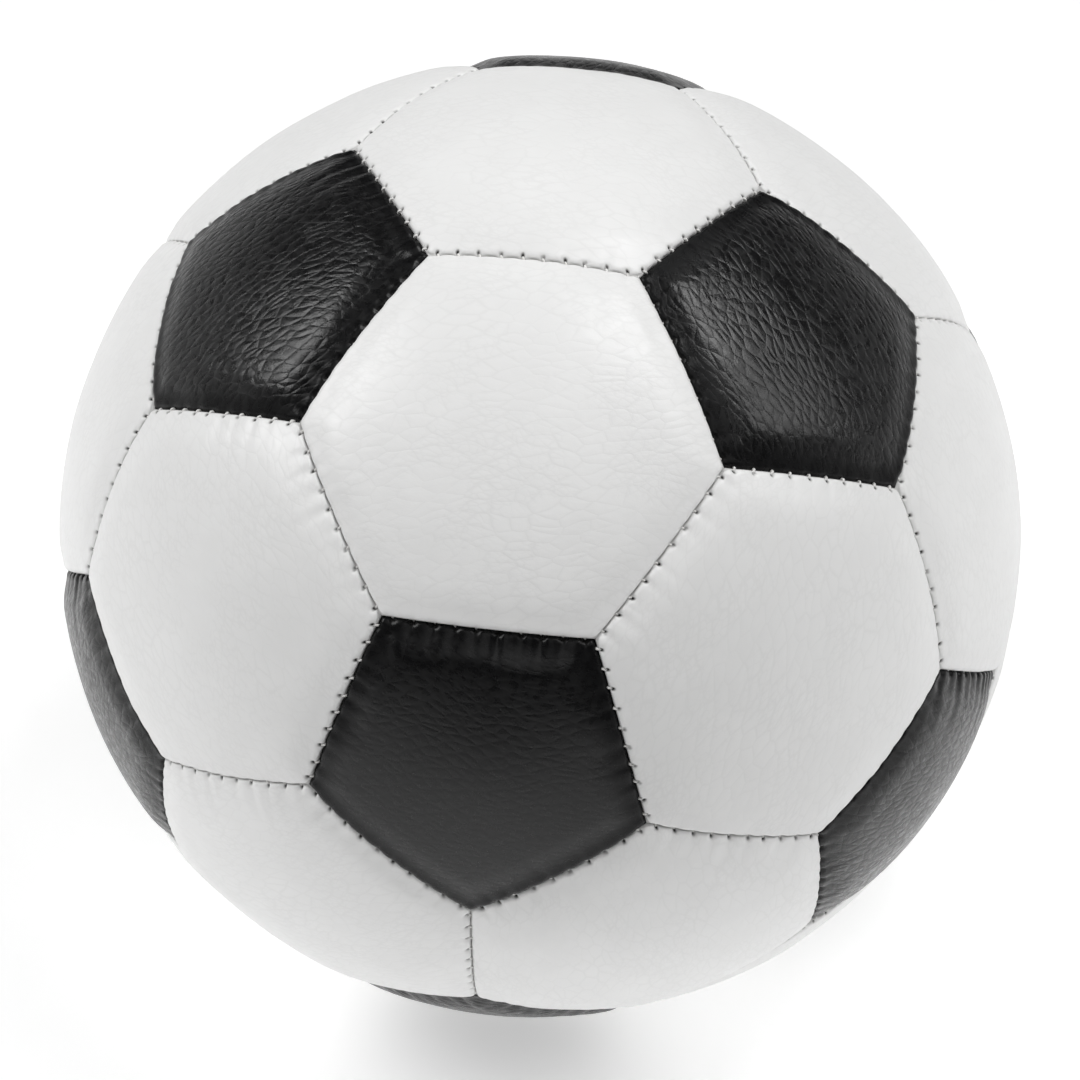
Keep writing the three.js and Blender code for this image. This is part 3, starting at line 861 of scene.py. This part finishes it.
def make_stage():
    """A round floor that curves up into a low wall, open at the front."""
    bend = np.linspace(0, math.pi / 2, 9)
    across = [*FLOOR_RINGS, *(FLOOR_RADIUS + WALL_CURVE * np.sin(bend)), FLOOR_RADIUS + WALL_CURVE]
    height = [*np.zeros(len(FLOOR_RINGS)), *(WALL_CURVE * (1 - np.cos(bend))), WALL_HEIGHT]
    across, height = np.array(across), np.array(height)
    turn = np.arange(STAGE_SEGMENTS) * 2 * math.pi / STAGE_SEGMENTS
    x, y = across[:, None] * np.cos(turn), across[:, None] * np.sin(turn)
    z = height[:, None] * smoothstep((y - WALL_STARTS) / (WALL_FULL - WALL_STARTS)) - RADIUS * MM
    points = np.stack([x, y, z], axis=-1).reshape(-1, 3)
    rings = np.arange(len(points)).reshape(len(across), STAGE_SEGMENTS)
    n = Nodes("floor")
    faces = [strip(inner, outer) for inner, outer in zip(rings, rings[1:])]
    floor = new_object("floor", points / MM, [*faces, rings[:1]], n.material)
    n.put(n.shader.inputs["Base Color"], (0.92, 0.92, 0.92, 1))
    n.put(n.shader.inputs["Roughness"], 0.9)
    # Painted light: the floor glows by its own emission, brighter far from the ball and dimmer in front of
    # it.
    n.put(n.shader.inputs["Emission Color"], (1, 1, 1, 1))
    place = n.new("ShaderNodeTexCoord").outputs["Object"]
    away = n.new("ShaderNodeVectorMath", {"operation": "LENGTH"}, Vector=place).outputs["Value"]
    forward = n.new("ShaderNodeSeparateXYZ", Vector=place).outputs["Y"]
    all_round = n.ramp(away, 0.4, 2.5, GLOW_NEAR, GLOW_FAR)
    dimmer_in_front = n.ramp(forward, -0.5, -0.1, GLOW_IN_FRONT, 1.0)
    n.put(n.shader.inputs["Emission Strength"], n.math("MULTIPLY", all_round, dimmer_in_front))


LIGHT_DISTANCE = 1.1
LIGHTS = {  # azimuth and elevation in degrees, size in metres, power in watts
    "left_box": (-76, 43, 0.55, 5.9),
    "right_box": (90, 70, 0.5, 5.4),
    "right_low_box": (84, 42, 0.5, 2.4),
    "back_box": (180, 58, 0.5, 0.5),
    "front_box": (4, 50, 0.6, 0.9),
}


def make_light(name, azimuth, elevation, size, energy):
    data = bpy.data.lights.new(name, "AREA")
    data.shape, data.size, data.energy = "SQUARE", size, energy
    light = bpy.data.objects.new(name, data)
    light.location = Vector(direction(math.radians(azimuth), math.radians(elevation))) * LIGHT_DISTANCE
    light.rotation_mode = "QUATERNION"
    light.rotation_quaternion = light.location.to_track_quat("Z", "Y")
    bpy.context.scene.collection.objects.link(light)


def make_world(horizon, overhead, front):
    """A grey surround, darker overhead and at the front."""
    world = bpy.data.worlds.new("studio")
    bpy.context.scene.world = world
    world.use_nodes = True
    nodes, links = world.node_tree.nodes, world.node_tree.links
    split = nodes.new("ShaderNodeSeparateXYZ")
    links.new(nodes.new("ShaderNodeTexCoord").outputs["Generated"], split.inputs[0])

    def fade(axis, from_low, from_high, to_low, to_high):
        node = nodes.new("ShaderNodeMapRange")
        node.interpolation_type = "SMOOTHSTEP"
        links.new(split.outputs[axis], node.inputs["Value"])
        ends = {"From Min": from_low, "From Max": from_high, "To Min": to_low, "To Max": to_high}
        for key, value in ends.items():
            node.inputs[key].default_value = value
        return node.outputs[0]

    both = nodes.new("ShaderNodeMath")
    both.operation = "MULTIPLY"
    links.new(fade("Z", 0.12, 0.5, horizon, overhead), both.inputs[0])
    links.new(fade("Y", -0.85, -0.4, front, 1.0), both.inputs[1])
    links.new(both.outputs[0], nodes["Background"].inputs["Strength"])
    nodes["Background"].inputs["Color"].default_value = (1, 1, 1, 1)


CAMERA_AZIMUTH, CAMERA_ELEVATION, CAMERA_ROLL = (math.radians(x) for x in (5.9, 37.7, 2.6))
CAMERA_DISTANCE = 7.562 * RADIUS * MM
LENS, SENSOR = 120.4, 36  # millimetres
AIM_BELOW_CENTRE = 0.0008


def make_camera():
    data = bpy.data.cameras.new("camera")
    data.lens, data.sensor_width = LENS, SENSOR
    camera = bpy.data.objects.new("camera", data)
    bpy.context.scene.collection.objects.link(camera)
    back = direction(CAMERA_AZIMUTH, CAMERA_ELEVATION)
    level = np.array([math.cos(CAMERA_AZIMUTH), math.sin(CAMERA_AZIMUTH), 0])
    upright = np.cross(back, level)
    up = upright * math.cos(CAMERA_ROLL) - level * math.sin(CAMERA_ROLL)
    right = np.cross(up, back)
    place = back * CAMERA_DISTANCE - up * AIM_BELOW_CENTRE
    matrix = np.eye(4)
    matrix[:3] = np.column_stack([right, up, back, place])
    camera.matrix_world = Matrix(matrix)
    data.clip_start, data.clip_end = 0.01, 100
    bpy.context.scene.camera = camera


make_camera()
make_stage()
for light_name, light_setting in LIGHTS.items():
    make_light(light_name, *light_setting)
make_world(horizon=0.25, overhead=0.03, front=0.15)
bpy.context.scene.view_settings.view_transform = "Standard"
